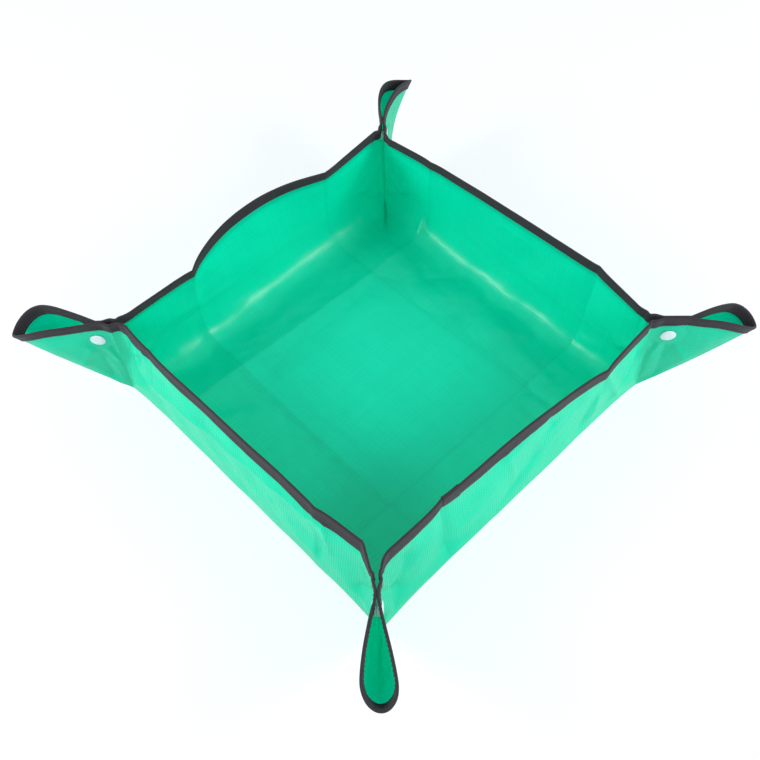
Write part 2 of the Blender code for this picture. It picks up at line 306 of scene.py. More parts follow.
# Lamps: name, azimuth from the front, elevation, distance, size and power
LAMPS = [
    ("left_softbox", -36, 32, 1.4, 0.5, 13.5),
    ("right_softbox", 126, 32, 1.4, 0.5, 13.5),
    ("front_softbox", 45, 22, 1.6, 1.0, 6.5),
]
CAMERA_AZIMUTH = 48.0
CAMERA_ELEVATION = 57.0
CAMERA_DISTANCE = 0.826
CAMERA_TARGET = (0.0130, -0.0150, 0.040)
CAMERA_ROLL = -2.9
CAMERA_LENS = 47.5
CAMERA_SENSOR = 36


def smooth(value):
    """A soft step from 0 to 1."""
    value = np.clip(value, 0, 1)
    return value * value * (3 - 2 * value)


def vector(values):
    return np.array(values, float)


def unit(values):
    return values / np.linalg.norm(values)


def units(values):
    return values / np.linalg.norm(values, axis=-1)[..., None]


def spread(low, high, count):
    return np.linspace(low, high, count)


UP = vector((0, 0, 1))


def along_of(outward):
    """The direction along a wall, by its outward direction."""
    return vector((-outward[1], outward[0], 0))


def on_level(wall, out, along):
    """Level points, by their way out from the middle to a wall and along it."""
    outward = vector(WALLS[wall])
    return out[..., None] * outward + along[..., None] * along_of(outward)


def ripple(x, y, seed, shortest, longest, count):
    """A gentle unevenness of about one unit, from waves that cross."""
    draw = np.random.RandomState(seed)
    total = 0
    for _ in range(count):
        length = draw.uniform(shortest, longest)
        turn = draw.uniform(0, 2 * math.pi)
        phase = draw.uniform(0, 2 * math.pi)
        way = x * math.cos(turn) + y * math.sin(turn)
        total = total + np.sin(way * (2 * math.pi / length) + phase)
    return total / math.sqrt(count / 2)


def fold_height(off, height, width):
    """A crease with a narrow rounded top, by distance from its line."""
    return height * np.exp((CREASE_TOP - np.hypot(off, CREASE_TOP)) / width)


def mark_height(x, y, first, last, height, width):
    """A crease between two ends, which fades out towards both."""
    way = vector(last) - vector(first)
    length = np.linalg.norm(way)
    way = way / length
    along = (x - first[0]) * way[0] + (y - first[1]) * way[1]
    off = (x - first[0]) * way[1] - (y - first[1]) * way[0]
    fade = smooth(along / (MARK_FADE * length)) * smooth((length - along) / (MARK_FADE * length))
    return fold_height(off, height, width) * fade


def crease_off(name, x, y):
    """How far points of the flat cut lie from a packing crease."""
    at, slant = CREASES[name]
    if name in ("east", "west"):
        return x - at - slant * y
    return y - at - slant * x


def snap_folds():
    """The folds that run down from the snaps, as marks on the flat cut."""
    snap = vector((FLOOR_HALF + SNAP_OUTWARD, FLOOR_HALF + SNAP_HEIGHT))
    folds = []
    for right, back in ((1, -1), (1, 1), (-1, 1), (-1, -1)):
        corner = vector((right, back))
        for (past, up), height, width in SNAP_FOLDS:
            end = vector((FLOOR_HALF + past, FLOOR_HALF + up))
            folds.append((snap * corner, end * corner, height, width))
            folds.append((snap[::-1] * corner, end[::-1] * corner, height * SECOND_LAYER, width))
    return folds


FOLDS = MARKS + snap_folds()


def relief(flat):
    """How far the sheet stands off its main shape, at points of the flat cut."""
    x, y = flat[..., 0], flat[..., 1]
    depth = FLOOR_HALF + WALL_HEIGHT - np.maximum(np.abs(x), np.abs(y))
    loose = HELD_RELIEF + (1 - HELD_RELIEF) * smooth((depth - HELD_DEPTH) / HELD_FADE)
    uneven = sum(ripple(x, y, *waves) * height for *waves, height in RIPPLES)
    total = uneven * loose
    for name, height in CREASE_HEIGHTS.items():
        total = total + fold_height(crease_off(name, x, y), height, CREASE_WIDTH)
    for first, last, height, width in FOLDS:
        total = total + mark_height(x, y, first, last, height * MARK_STRENGTH, width) * loose
    return total


def cove_size(wall, share):
    """The size of the soft turn between floor and wall, nothing at the corners."""
    near = np.clip(FLOOR_HALF * (1 - np.abs(share)) / COVE_TAPER, 0, 1)
    return COVES[wall] * (1 - (1 - near) ** 2)


def lift(x, y):
    """How far the floor's outer bands stand off the ground."""
    past_x = np.clip((np.abs(x) - BAND_START) / (FLOOR_HALF - BAND_START), 0, 1)
    past_y = np.clip((np.abs(y) - BAND_START) / (FLOOR_HALF - BAND_START), 0, 1)
    bands = np.sin(math.pi * past_x) * (1 - 0.7 * past_y)
    bands = bands + np.sin(math.pi * past_y) * (1 - 0.7 * past_x)
    return BAND_LIFT * bands


def rim_creases(wall):
    """Where the two packing creases cross a wall's rim, by share of its length."""
    outward = vector(WALLS[wall])
    along = along_of(outward)
    crossing = ("west", "east") if outward[0] == 0 else ("south", "north")
    shares = []
    for name in crossing:
        at, slant = CREASES[name]
        place = at + slant * (outward[0] + outward[1]) * (FLOOR_HALF + WALL_HEIGHT)
        shares.append(place * (along[0] + along[1]) / wall_half(WALL_HEIGHT))
    return min(shares), max(shares)


def wall_bow(wall, share):
    """How far a wall's rim stands out, from corner to crease to crease to corner."""
    bow = BOWS[wall]
    low, high = rim_creases(wall)
    first, second = bow["creases"]
    between = np.clip((share - low) / (high - low), 0, 1)
    middle = first + (second - first) * between + bow["arch"] * (1 - (2 * between - 1) ** 2)
    past = np.clip(np.maximum((low - share) / (1 + low), (share - high) / (1 - high)), 0, 1)
    edge = np.where(share < low, first, second)
    corner = np.where(share[..., None] < low, *vector(bow["ends"]))
    end, at, roundness = np.moveaxis(corner, -1, 0)
    nearer = np.clip((past - at) / (1 - at), 0, 1)
    outer = np.where(past < at, edge + (end - edge) * past / at, end * (1 - nearer ** roundness))
    return np.where(past > 0, outer, middle)


def wall_half(rise):
    """Half a wall's length at a rise."""
    return FLOOR_HALF - rise * math.tan(NECK_LEAN)


def wall_place(wall, share, rise):
    """Places on a wall, and where they are on the flat cut."""
    share, rise = np.broadcast_arrays(share, rise)
    start = cove_size(wall, share)
    up = np.clip((rise - start) / (WALL_HEIGHT - start), 0, None)
    bow = wall_bow(wall, share)
    half = wall_half(rise)
    along = share * half
    flat = on_level(wall, FLOOR_HALF + rise, along)
    inside = (1 - np.abs(share)) * half
    loose = smooth(rise / LOOSE_RISE) * (1 - up)
    reach = np.where(share < 0, TURNS[wall][0], TURNS[wall][1]) * up
    reach = reach + WALL_SOFTNESS * loose + 1e-6
    turned = (1 - EAR_TURN * loose) * inside * (1 - smooth(inside / reach))
    fade = TIGHT_FADE - WIDE_FADE_LESS * smooth(start / WIDE_COVE)
    uneven = relief(flat) * smooth(inside / CORNER_FADE) * smooth((rise - start) / fade)
    out = FLOOR_HALF + bow * up ** BOW_POWER - turned - uneven
    height = REST_LEVEL + start + (rise - start) * np.sqrt(1 - (bow / WALL_HEIGHT) ** 2)
    return on_level(wall, out, along) + height[..., None] * UP, flat


def cove_profile(steps):
    """A turn from level to upright whose curvature starts and ends at nothing."""
    fine = spread(0, 1, 401)
    angle = smooth(fine) * math.pi / 2
    middle = (angle[1:] + angle[:-1]) / 2
    level = np.concatenate([[0], np.cumsum(np.cos(middle))])
    rising = np.concatenate([[0], np.cumsum(np.sin(middle))])
    return np.interp(steps, fine, level / level[-1]), np.interp(steps, fine, rising / rising[-1])


def cove_place(wall, share, step):
    """Places on a cove, with step from the floor (0) to the wall (1), and on the flat cut."""
    share, step = np.broadcast_arrays(share, step)
    size = cove_size(wall, share)
    along = share * (FLOOR_HALF + (wall_half(size) - FLOOR_HALF) * step)
    flat = on_level(wall, FLOOR_HALF - size + 2 * size * step, along)
    inside = (1 - np.abs(share)) * FLOOR_HALF
    late = COVE_KEEPS * smooth(size / WIDE_COVE)
    fade = 1 - smooth((step - late) / (1 - late))
    uneven = relief(flat) * smooth(inside / CORNER_FADE) * fade
    off = (1 - smooth(step)) * lift(flat[..., 0], flat[..., 1]) + uneven
    level, rising = cove_profile(step)
    angle = smooth(step) * math.pi / 2
    out = FLOOR_HALF - size + size * level - np.sin(angle) * off
    height = np.maximum(REST_LEVEL + size * rising + np.cos(angle) * off, 0)
    return on_level(wall, out, along) + height[..., None] * UP, flat


def floor_place(right, back):
    """Places on the floor, by shares of the way to its edges, and on the flat cut."""
    right, back = np.broadcast_arrays(right, back)
    east = cove_size("east", back)
    west = cove_size("west", back)
    north = cove_size("north", right)
    south = cove_size("south", right)
    x = right * (FLOOR_HALF - np.where(right > 0, east, west))
    y = back * (FLOOR_HALF - np.where(back > 0, north, south))
    flat = np.stack([x, y, np.zeros_like(x)], -1)
    away = FLOOR_HALF * np.hypot(1 - np.abs(right), 1 - np.abs(back))
    uneven = relief(flat) * smooth(away / CORNER_FADE)
    height = REST_LEVEL + np.maximum(lift(x, y) + uneven, 0)
    return np.stack([x, y, height], -1), flat


def edge_radius(angle, depth):
    """Distance from a tray corner to the sheet's edge less a depth, at an angle from the
    line square to the wall. The sheet's own corner is at 45 degrees, and is rounded."""
    middle = WALL_HEIGHT - CORNER_RADIUS
    straight = (WALL_HEIGHT - depth) / np.cos(angle)
    off = math.pi / 4 - angle
    reach = middle * math.sqrt(2)
    radius = CORNER_RADIUS - depth
    under = np.clip(radius ** 2 - (reach * np.sin(off)) ** 2, 0, None)
    rounded = reach * np.cos(off) + np.sqrt(under)
    return np.where(straight * np.sin(angle) <= middle, straight, rounded)


class EarHalf:
    """One half of an ear: the sector of sheet between a wall's fold and the ear's ridge."""

    def __init__(self, corner, wall):
        first, second = CORNERS[corner]
        outward = vector(WALLS[wall])
        self.side = 1 if wall == first else -1
        toward = along_of(outward) * self.side
        self.corner = corner
        self.wall = wall
        self.name = f"{corner}_{wall}"
        self.outward = outward
        self.toward = toward
        corner_way = vector(WALLS[first]) + vector(WALLS[second])
        self.origin = corner_way * FLOOR_HALF + UP * REST_LEVEL
        self.out = unit(outward + toward)
        self.normal = unit(outward - toward)
        self.fold = UP * math.cos(NECK_LEAN) - toward * math.sin(NECK_LEAN)
        # The ridge lies in the plane between the halves, one sector away from the fold
        level = math.cos(NECK_LEAN)
        tilt = math.sin(NECK_LEAN) / math.sqrt(2)
        lean = math.acos(math.cos(EAR_SECTOR) / math.hypot(level, tilt)) - math.atan2(tilt, level)
        ridge = self.out * math.sin(lean) + UP * math.cos(lean)
        self.across = (ridge - self.fold * math.cos(EAR_SECTOR)) / math.sin(EAR_SECTOR)
        self.plane = unit(np.cross(self.fold, ridge))
        self.snap = self.origin + self.out * SNAP_OUTWARD + UP * SNAP_HEIGHT

    def ratio(self, share):
        """The half width over the distance from the tray's corner."""
        shape = EARS[self.corner]
        fold = math.sin(NECK_LEAN) / math.sqrt(2)
        widest = shape["widest"][0 if self.side > 0 else 1]
        at = shape["at"]
        rise = np.clip((share - shape["neck"]) / (at - shape["neck"]), 0, 1)
        rise = 1 - (1 - rise) ** EAR_SWELL
        past = np.clip((share - at) / (1 - at), 0, 1)
        close = fold + (PINCHED - fold) * smooth(share / PINCH_SHARE)
        before = close + (widest - close) * rise
        return np.where(share <= at, before, widest * np.sqrt(1 - past * past))

    def belly(self, angle, radius):
        """Beside the wall the sheet still turns, as much as the wall leaves to it."""
        loose = smooth(radius / LOOSE_RISE) * np.clip(1 - radius / WALL_HEIGHT, 0, 1)
        turn = EAR_TURN * loose / (2 - EAR_TURN * loose)
        inside = radius * np.sin(angle)
        reach = np.minimum(EAR_SOFTNESS, EAR_REACH * radius) + 1e-6
        return turn * inside * (1 - smooth(inside / reach))

    def place(self, share, depth=None, reach=None):
        """Places by share and depth in from the sheet's edge, or by share and reach from the
        tray's corner to the inset edge, and where they are on the flat cut."""
        share = np.asarray(share, float)
        angle = EAR_SECTOR * share
        if reach is None:
            radius = edge_radius(angle - NECK_LEAN, depth)
        else:
            radius = edge_radius(angle - NECK_LEAN, EDGE_INSET) * reach
        share, angle, radius = np.broadcast_arrays(share, angle, radius)
        on_plane = np.cos(angle)[..., None] * self.fold + np.sin(angle)[..., None] * self.across
        on_plane = on_plane * radius[..., None]
        turned = angle - NECK_LEAN
        flat_out = FLOOR_HALF + radius * np.cos(turned)
        flat_along = FLOOR_HALF + radius * np.sin(turned)
        flat = flat_out[..., None] * self.outward + flat_along[..., None] * self.toward
        width = radius * self.ratio(share) + self.belly(angle, radius)
        place = self.origin + on_plane
        off = place - self.snap
        away = np.hypot(off @ self.out, off[..., 2])
        pad = (1 - smooth((away - PAD_RADIUS) / PAD_FADE)) * smooth(share / PAD_SHARE)
        fade = smooth(share / EAR_FADE) * smooth((1 - share) / EAR_FADE) * (1 - pad)
        uneven = relief(flat) * fade * smooth(radius / LOW_FADE)
        width = width + (SNAP_LAYER - width) * pad - uneven
        beyond = np.clip((on_plane @ self.out - TIP_START) / TIP_REACH, 0, TIP_MOST)
        bend = EARS[self.corner]["bend"] * beyond ** 2 * self.side
        shift = width + bend - on_plane @ self.normal
        return place + shift[..., None] * self.normal, flat


def wall_columns():
    """Shares along a wall, closer together beside the corners."""
    middle = spread(-0.88, 0.88, 153)
    close = spread(0.88, 1, 19)[1:]
    return np.concatenate([-close[::-1], middle, close])


def ear_columns(corner):
    """Shares across an ear half, closer together round its ridge."""
    at = EARS[corner]["at"]
    before = spread(0, at, 40)
    close = at + (1 - at) * np.sin(spread(0, math.pi / 2, 22))
    return np.concatenate([before[:-1], close])


COLUMNS = wall_columns()
# From a fold up to the sheet's edge, closer together under the binding
RISES = np.concatenate([spread(0, 0.9, 50), spread(0.9, 1, 7)[1:]])
COVE_STEPS = spread(0, 1, 21)


class Wire:
    """A socket of a finish, so that its patterns can be written as sums."""

    def __init__(self, finish, socket):
        self.finish = finish
        self.socket = socket

    def reckon(self, operation, *terms):
        return self.finish.node("ShaderNodeMath", {"operation": operation}, dict(enumerate(terms)))

    def __add__(self, other):
        return self.reckon("ADD", self, other)

    def __radd__(self, other):
        return self.reckon("ADD", other, self)

    def __sub__(self, other):
        return self.reckon("SUBTRACT", self, other)

    def __rsub__(self, other):
        return self.reckon("SUBTRACT", other, self)

    def __mul__(self, other):
        return self.reckon("MULTIPLY", self, other)

    def __rmul__(self, other):
        return self.reckon("MULTIPLY", other, self)

    def __truediv__(self, other):
        return self.reckon("DIVIDE", self, other)

    def __rtruediv__(self, other):
        return self.reckon("DIVIDE", other, self)

    def __mod__(self, other):
        return self.reckon("FLOORED_MODULO", self, other)

    def __rmod__(self, other):
        return self.reckon("FLOORED_MODULO", other, self)

    def __abs__(self):
        return self.reckon("ABSOLUTE", self)

    def floor(self):
        return self.reckon("FLOOR", self)

    def larger(self, other):
        return self.reckon("MAXIMUM", self, other)

    def wave(self):
        """A wave between 0 and 1."""
        return self.reckon("SINE", self) * 0.5 + 0.5


class Finish:
    """A material or the studio's world, made node by node."""

    def __init__(self, owner):
        owner.use_nodes = True
        self.owner = owner
        self.tree = owner.node_tree
        self.tree.nodes.clear()

    def node(self, kind, settings=None, sockets=None, output=0):
        made = self.tree.nodes.new(kind)
        for name, value in (settings or {}).items():
            setattr(made, name, value)
        for key, value in (sockets or {}).items():
            if isinstance(value, Wire):
                self.tree.links.new(value.socket, made.inputs[key])
            else:
                made.inputs[key].default_value = value
        return Wire(self, made.outputs[output] if made.outputs else None)

    def flat_cut(self):
        """Where a point is on the flat piece, whole and as its two parts."""
        held = self.node("ShaderNodeAttribute", {"attribute_name": "flat"}, output="Vector")
        x = self.node("ShaderNodeSeparateXYZ", sockets={0: held}, output="X")
        y = self.node("ShaderNodeSeparateXYZ", sockets={0: held}, output="Y")
        return held, x, y

    def between(self, value, low, high, first=0.0, last=1.0):
        """A soft step from one level to another as a value goes from low to high."""
        sockets = {
            "Value": value,
            "From Min": low,
            "From Max": high,
            "To Min": first,
            "To Max": last,
        }
        return self.node("ShaderNodeMapRange", {"interpolation_type": "SMOOTHSTEP"}, sockets)

    def noise(self, place, scale, detail=3.0, roughness=0.5):
        sockets = {"Vector": place, "Scale": scale, "Detail": detail, "Roughness": roughness}
        return self.node("ShaderNodeTexNoise", sockets=sockets)

    def chance(self, value):
        """An even random number for each whole number."""
        return self.node("ShaderNodeTexWhiteNoise", {"noise_dimensions": "1D"}, {"W": value})

    def mix(self, share, first, second, blend="MIX"):
        """Two colours mixed. A Mix node has them at inputs 6 and 7, and gives output 2."""
        settings = {"data_type": "RGBA", "blend_type": blend}
        return self.node("ShaderNodeMix", settings, {0: share, 6: first, 7: second}, 2)

    def shade(self, amount, color):
        """A colour made lighter or darker all over."""
        grey = self.node("ShaderNodeCombineColor", sockets={0: amount, 1: amount, 2: amount})
        return self.mix(1.0, color, grey, "MULTIPLY")

    def bump(self, height, distance):
        return self.node("ShaderNodeBump", sockets={"Height": height, "Distance": distance})

    def layers(self, share, first, second):
        """Two shaders, one over the other."""
        return self.node("ShaderNodeMixShader", sockets={0: share, 1: first, 2: second})

    def finished(self, shader, end="ShaderNodeOutputMaterial"):
        self.node(end, sockets={"Surface": shader})
        return self.owner


def new_finish(name):
    return Finish(bpy.data.materials.new(name))


def woven_sheet():
    """Laminated woven strips: a fine chequer of flat strands under a clear film."""
    finish = new_finish("green_sheet")
    flat, x, y = finish.flat_cut()
    across = x / WEAVE_PITCH
    along = y / WEAVE_PITCH
    column = across.floor()
    line = along.floor()
    over = (column + line) % 2.0
    from_left = (across - column) * 2.0 - 1.0
    from_front = (along - line) * 2.0 - 1.0
    left_square = from_left * from_left
    front_square = from_front * from_front
    warp = (1.0 - left_square * left_square) * (1.0 - front_square * 0.6)
    weft = (1.0 - front_square * front_square) * (1.0 - left_square * 0.6)
    strands = warp + (weft - warp) * over
    strand_tone = finish.chance(column) * (1.0 - over) + finish.chance(line + 517.0) * over
    cloudy = finish.noise(flat, 14.0)
    # Painted shade: the floor is painted a little darker than the walls, standing in for the light
    # from behind that the floor does not get
    shaded_floor_x = finish.between(abs(x), 0.132, 0.154, 1.0, 0.0)
    shaded_floor_y = finish.between(abs(y), 0.132, 0.154, 1.0, 0.0)
    painted_floor_shade = shaded_floor_x * shaded_floor_y
    # Painted light: the square between the packing creases lies on the ground and is painted
    # lighter, standing in for light from the ground coming through the sheet
    painted_lit_square = 1.0
    painted_crease_shade = 0.0
    for name, (at, slant) in CREASES.items():
        off = x - y * slant - at if name in ("east", "west") else y - x * slant - at
        inner = 1.0 if name in ("west", "south") else 0.0
        painted_lit_square = finish.between(off, -0.0022, 0.0022, 1.0 - inner, inner) * painted_lit_square
        # Painted shade: a thin darker line along each packing crease
        painted_crease_shade = finish.between(abs(off), 0.0003, 0.0017, 1.0, 0.0) + painted_crease_shade
    color = finish.mix(painted_lit_square * (0.75 + cloudy * 0.5), SHEET_GREEN, SHEET_PAINTED_LIT)
    tone = 0.92 + strand_tone * 0.09 + strands * 0.06 + (cloudy - 0.5) * 0.12
    # Painted shade: darker along the packing creases and over the floor
    tone = tone - painted_crease_shade * 0.08 - painted_floor_shade * 0.04
    skin = finish.node("ShaderNodeBsdfPrincipled", sockets={
        "Base Color": finish.shade(tone, color),
        "Roughness": 0.25 + (cloudy - 0.5) * 0.12 + (1.0 - strands) * 0.08,
        "Specular IOR Level": 0.42,
        "Normal": finish.bump(strands, 0.00007),
    })
    through = finish.node("ShaderNodeBsdfTranslucent", sockets={"Color": SHEET_THROUGH})
    return finish.finished(finish.layers(THROUGH_SHARE, skin, through))


def woven_tape():
    """Matte black tape with fine ribs along it and closer threads across."""
    finish = new_finish("black_tape")
    flat, x, y = finish.flat_cut()
    ribs = (y * (2 * math.pi / RIB_PITCH)).wave()
    threads = (x * (2 * math.pi / WEFT_PITCH) + (y / RIB_PITCH).floor() * math.pi).wave()
    cloth = ribs * 0.6 + threads * 0.4
    fibres = finish.noise(flat, 900.0, 4.0, 0.6)
    worn = finish.noise(flat, 60.0, 2.0)
    color = finish.mix(cloth * 0.55 + fibres * 0.45, TAPE_BLACK, TAPE_WORN)
    skin = finish.node("ShaderNodeBsdfPrincipled", sockets={
        "Base Color": finish.shade(0.75 + worn * 0.5, color),
        "Roughness": 0.72 + fibres * 0.2,
        "Specular IOR Level": 0.3,
        "Sheen Weight": 0.08,
        "Sheen Roughness": 0.5,
        "Normal": finish.bump(cloth * 0.8 + fibres * 0.4, 0.00012),
    })
    return finish.finished(skin)


def sewing_thread():
    """Twisted dark thread."""
    finish = new_finish("dark_thread")
    flat, x, y = finish.flat_cut()
    twist = ((x + y) * (2 * math.pi / TWIST_PITCH)).wave()
    skin = finish.node("ShaderNodeBsdfPrincipled", sockets={
        "Base Color": finish.mix(twist, THREAD_DARK, THREAD_WORN),
        "Roughness": 0.5 + twist * 0.15,
        "Normal": finish.bump(twist, 0.00005),
    })
    return finish.finished(skin)


def moulded_plastic():
    """White resin of the press snaps."""
    finish = new_finish("white_plastic")
    place = finish.node("ShaderNodeTexCoord", output="Object")
    cloudy = finish.noise(place, 260.0)
    grain = finish.noise(place, 2600.0, 2.0)
    skin = finish.node("ShaderNodeBsdfPrincipled", sockets={
        "Base Color": finish.mix(cloudy, RESIN_COOL, RESIN_PALE),
        "Roughness": 0.26 + grain * 0.14,
        "Subsurface Weight": 0.2,
        "Subsurface Radius": (0.0008, 0.0010, 0.0010),
        "Subsurface Scale": 1.0,
        "Normal": finish.bump(grain, 0.00002),
    })
    return finish.finished(skin)


def pale_ground():
    """The ground is nearly white to the eye and keeps a soft shadow."""
    finish = new_finish("pale_ground")
    seen = finish.node("ShaderNodeLightPath", output="Is Camera Ray")
    mirrored = finish.node("ShaderNodeLightPath", output="Is Glossy Ray")
    through = finish.node("ShaderNodeLightPath", output="Is Transmission Ray")
    direct = seen.larger(mirrored).larger(through)
    matte = finish.node("ShaderNodeBsdfDiffuse", sockets={"Color": GROUND_LIT})
    bright = finish.node("ShaderNodeEmission", sockets={"Color": GROUND_SEEN})
    return finish.finished(finish.layers(direct * GROUND_SEEN_SHARE, matte, bright))


GREEN = woven_sheet()
BLACK = woven_tape()
THREAD = sewing_thread()
WHITE = moulded_plastic()


def flat_mesh(name, points, faces, flats):
    """A smooth mesh whose points know their place on the flat piece."""
    mesh = bpy.data.meshes.new(name)
    mesh.from_pydata(points.tolist(), [], faces)
    mesh.update()
    layer = mesh.attributes.new("flat", "FLOAT_VECTOR", "POINT")
    layer.data.foreach_set("vector", flats.astype(np.float32).ravel())
    mesh.shade_smooth()
    return mesh


def grid_mesh(name, places, flats, fan=False):
    """A grid of points as an open sheet. A fan has its whole first row in one point."""
    rows, columns = places.shape[:2]
    index = np.arange(rows * columns).reshape(rows, columns)
    points = places.reshape(-1, 3)
    flats = flats.reshape(-1, 3)
    if fan:
        points = points[columns - 1:]
        flats = flats[columns - 1:]
        index = np.maximum(index - (columns - 1), 0)
    faces = []
    for row in range(rows - 1):
        for column in range(columns - 1):
            face = [index[row, column], index[row, column + 1]]
            face += [index[row + 1, column + 1], index[row + 1, column]]
            faces.append([int(spot) for spot in dict.fromkeys(face)])
    return flat_mesh(name, points, faces, flats)


def add_piece(name, mesh, finish):
    piece = bpy.data.objects.new(name, mesh)
    bpy.context.scene.collection.objects.link(piece)
    mesh.materials.append(finish)
    return piece


def thicken(piece, thickness):
    """Gives an open sheet its thickness, with crisp cut edges."""
    shell = piece.modifiers.new("thickness", "SOLIDIFY")
    shell.thickness = thickness
    shell.offset = 0
    rims = piece.modifiers.new("rims", "EDGE_SPLIT")
    rims.split_angle = math.radians(55)


def flat_area(flats):
    """The area of the cut under a grid of points."""
    first = flats[1:, 1:] - flats[:-1, :-1]
    second = flats[1:, :-1] - flats[:-1, 1:]
    return float(np.abs(np.cross(first, second)[..., 2]).sum() / 2)


def declare(flats):
    """Works out the size and area of the cut under a piece of the sheet, and keeps neither."""
    size = flats.reshape(-1, 3).max(0) - flats.reshape(-1, 3).min(0)
    area = flat_area(flats)


def run_along(line):
    """The way along a line of points to each of them."""
    return np.concatenate([[0], np.cumsum(np.linalg.norm(np.diff(line, axis=0), axis=1))])


def tape_rows(place, shares, away, faces, extra):
    """Rows of binding round the sheet's edge, with the distance along and across it."""
    middle = TAPE_WIDTH / 2
    ahead = place(np.clip(shares + STEP_SHARE, shares[0], shares[-1]), middle)
    behind = place(np.clip(shares - STEP_SHARE, shares[0], shares[-1]), middle)
    inward = place(shares, middle + STEP_DEPTH) - place(shares, middle - STEP_DEPTH)
    normal = units(np.cross(ahead - behind, inward))
    run = run_along(place(shares, 0.0))
    profile = [(depth - extra * (depth < middle), level) for depth, level in TAPE_PROFILE]
    sides = [(depth, level, 1, faces[0]) for depth, level in profile]
    sides += [(depth, level, -1, faces[1]) for depth, level in profile[::-1]]
    rows, flats = [], []
    across = 0.0
    before = None
    for depth, level, side, face in sides:
        deep = depth * (1 + (face - 1) * smooth(away / FACE_RUN))
        row = place(shares, deep) + normal * (side * (TAPE_OFFSET * level + extra))
        if before is not None:
            across += float(np.linalg.norm(row - before, axis=1).mean())
        before = row
        rows.append(row)
        flats.append(np.stack([run, np.full_like(run, across), np.zeros_like(run)], -1))
    return np.array(rows).transpose(1, 0, 2), np.array(flats).transpose(1, 0, 2)


def make_tape(name, place, shares, away, faces, extra=0.0):
    """A stretch of binding. Away says how far each point is from where the faces are even."""
    rows, flats = tape_rows(place, shares, away, faces, extra)
    piece = add_piece(name, grid_mesh(name, rows, flats), BLACK)
    thicken(piece, TAPE_THICKNESS)
    return piece


def stitch_faces(count, rings):
    """The faces of closed little tubes, whose points follow one another."""
    faces = []
    for base in range(0, count, rings * THREAD_SIDES):
        for ring in range(rings - 1):
            for corner in range(THREAD_SIDES):
                a = base + ring * THREAD_SIDES + corner
                b = base + ring * THREAD_SIDES + (corner + 1) % THREAD_SIDES
                faces.append([a, b, b + THREAD_SIDES, a + THREAD_SIDES])
        end = base + (rings - 1) * THREAD_SIDES
        faces.append([base + corner for corner in range(THREAD_SIDES)][::-1])
        faces.append([end + corner for corner in range(THREAD_SIDES)])
    return faces


def make_stitches(name, place, first, last):
    """Short stitches in a line on both faces of the binding."""
    fine = spread(first, last, 400)
    run = run_along(place(fine, STITCH_DEPTH))
    count = int(run[-1] / STITCH_PITCH)
    margin = (run[-1] - count * STITCH_PITCH + STITCH_PITCH - STITCH_LENGTH) / 2
    swell = vector(STITCH_SWELL)
    reach = margin + np.arange(count)[:, None] * STITCH_PITCH + swell[:, 0] * STITCH_LENGTH
    share = np.interp(reach, run, fine)
    centre = place(share, STITCH_DEPTH)
    ahead = place(np.clip(share + STEP_SHARE, first, last), STITCH_DEPTH)
    behind = place(np.clip(share - STEP_SHARE, first, last), STITCH_DEPTH)
    along = units(ahead - behind)
    inward = place(share, STITCH_DEPTH + STEP_DEPTH) - centre
    off = TAPE_OFFSET + TAPE_THICKNESS / 2 + THREAD_RADIUS * swell[:, 2]
    radius = (THREAD_RADIUS * swell[:, 1])[:, None, None]
    turns = np.arange(THREAD_SIDES) * (2 * math.pi / THREAD_SIDES)
    sines = np.sin(turns)[:, None]
    cosines = np.cos(turns)[:, None]
    points, flats = [], []
    for face_side in (1, -1):
        normal = units(np.cross(along, inward)) * face_side
        beside = np.cross(normal, along)
        middle = centre + normal * off[:, None]
        round_it = normal[:, :, None] * sines + beside[:, :, None] * cosines
        points.append(middle[:, :, None] + round_it * radius)
        flat = np.zeros(points[-1].shape)
        flat[..., 0] = reach[..., None]
        flat[..., 1] = turns * THREAD_RADIUS
        flats.append(flat)
    points = np.concatenate(points).reshape(-1, 3)
    faces = stitch_faces(len(points), len(swell))
    piece = add_piece(name, flat_mesh(name, points, faces, np.concatenate(flats)), THREAD)
    return piece


def cap_profile():
    """Radius and height along a cap, from its crown down to the end of its post."""
    under = SNAP_LAYER + 0.0004
    top = under + 0.0013
    return [
        (0.0, top - 0.00006),
        (0.0012, top - 0.00004),
        (0.0026, top - 0.00002),
        (0.0040, top - 0.00016),
        (0.0051, top - 0.00040),
        (0.0058, top - 0.00070),
        (0.0062, top - 0.00100),
        (0.0062, top - 0.00118),
        (0.0060, under),
        (0.0012, under),
        (0.00095, under - 0.0002),
        (0.00095, 0.00085),
        (0.0014, 0.0008),
        (0.0014, 0.00067),
        (0.0, 0.0006),
    ]


def turned_form(profile, sides):
    """Points and faces of a closed form, turned from its profile."""
    points = [(0, 0, profile[0][1])]
    for radius, height in profile[1:-1]:
        for step in range(sides):
            angle = 2 * math.pi * step / sides
            points.append((radius * math.cos(angle), radius * math.sin(angle), height))
    points.append((0, 0, profile[-1][1]))
    last = 1 + (len(profile) - 3) * sides
    faces = []
    for step in range(sides):
        after = (step + 1) % sides
        faces.append([0, 1 + step, 1 + after])
        for a in range(1, last, sides):
            faces.append([a + step, a + sides + step, a + sides + after, a + after])
        faces.append([last + after, last + step, len(points) - 1])
    return points, faces


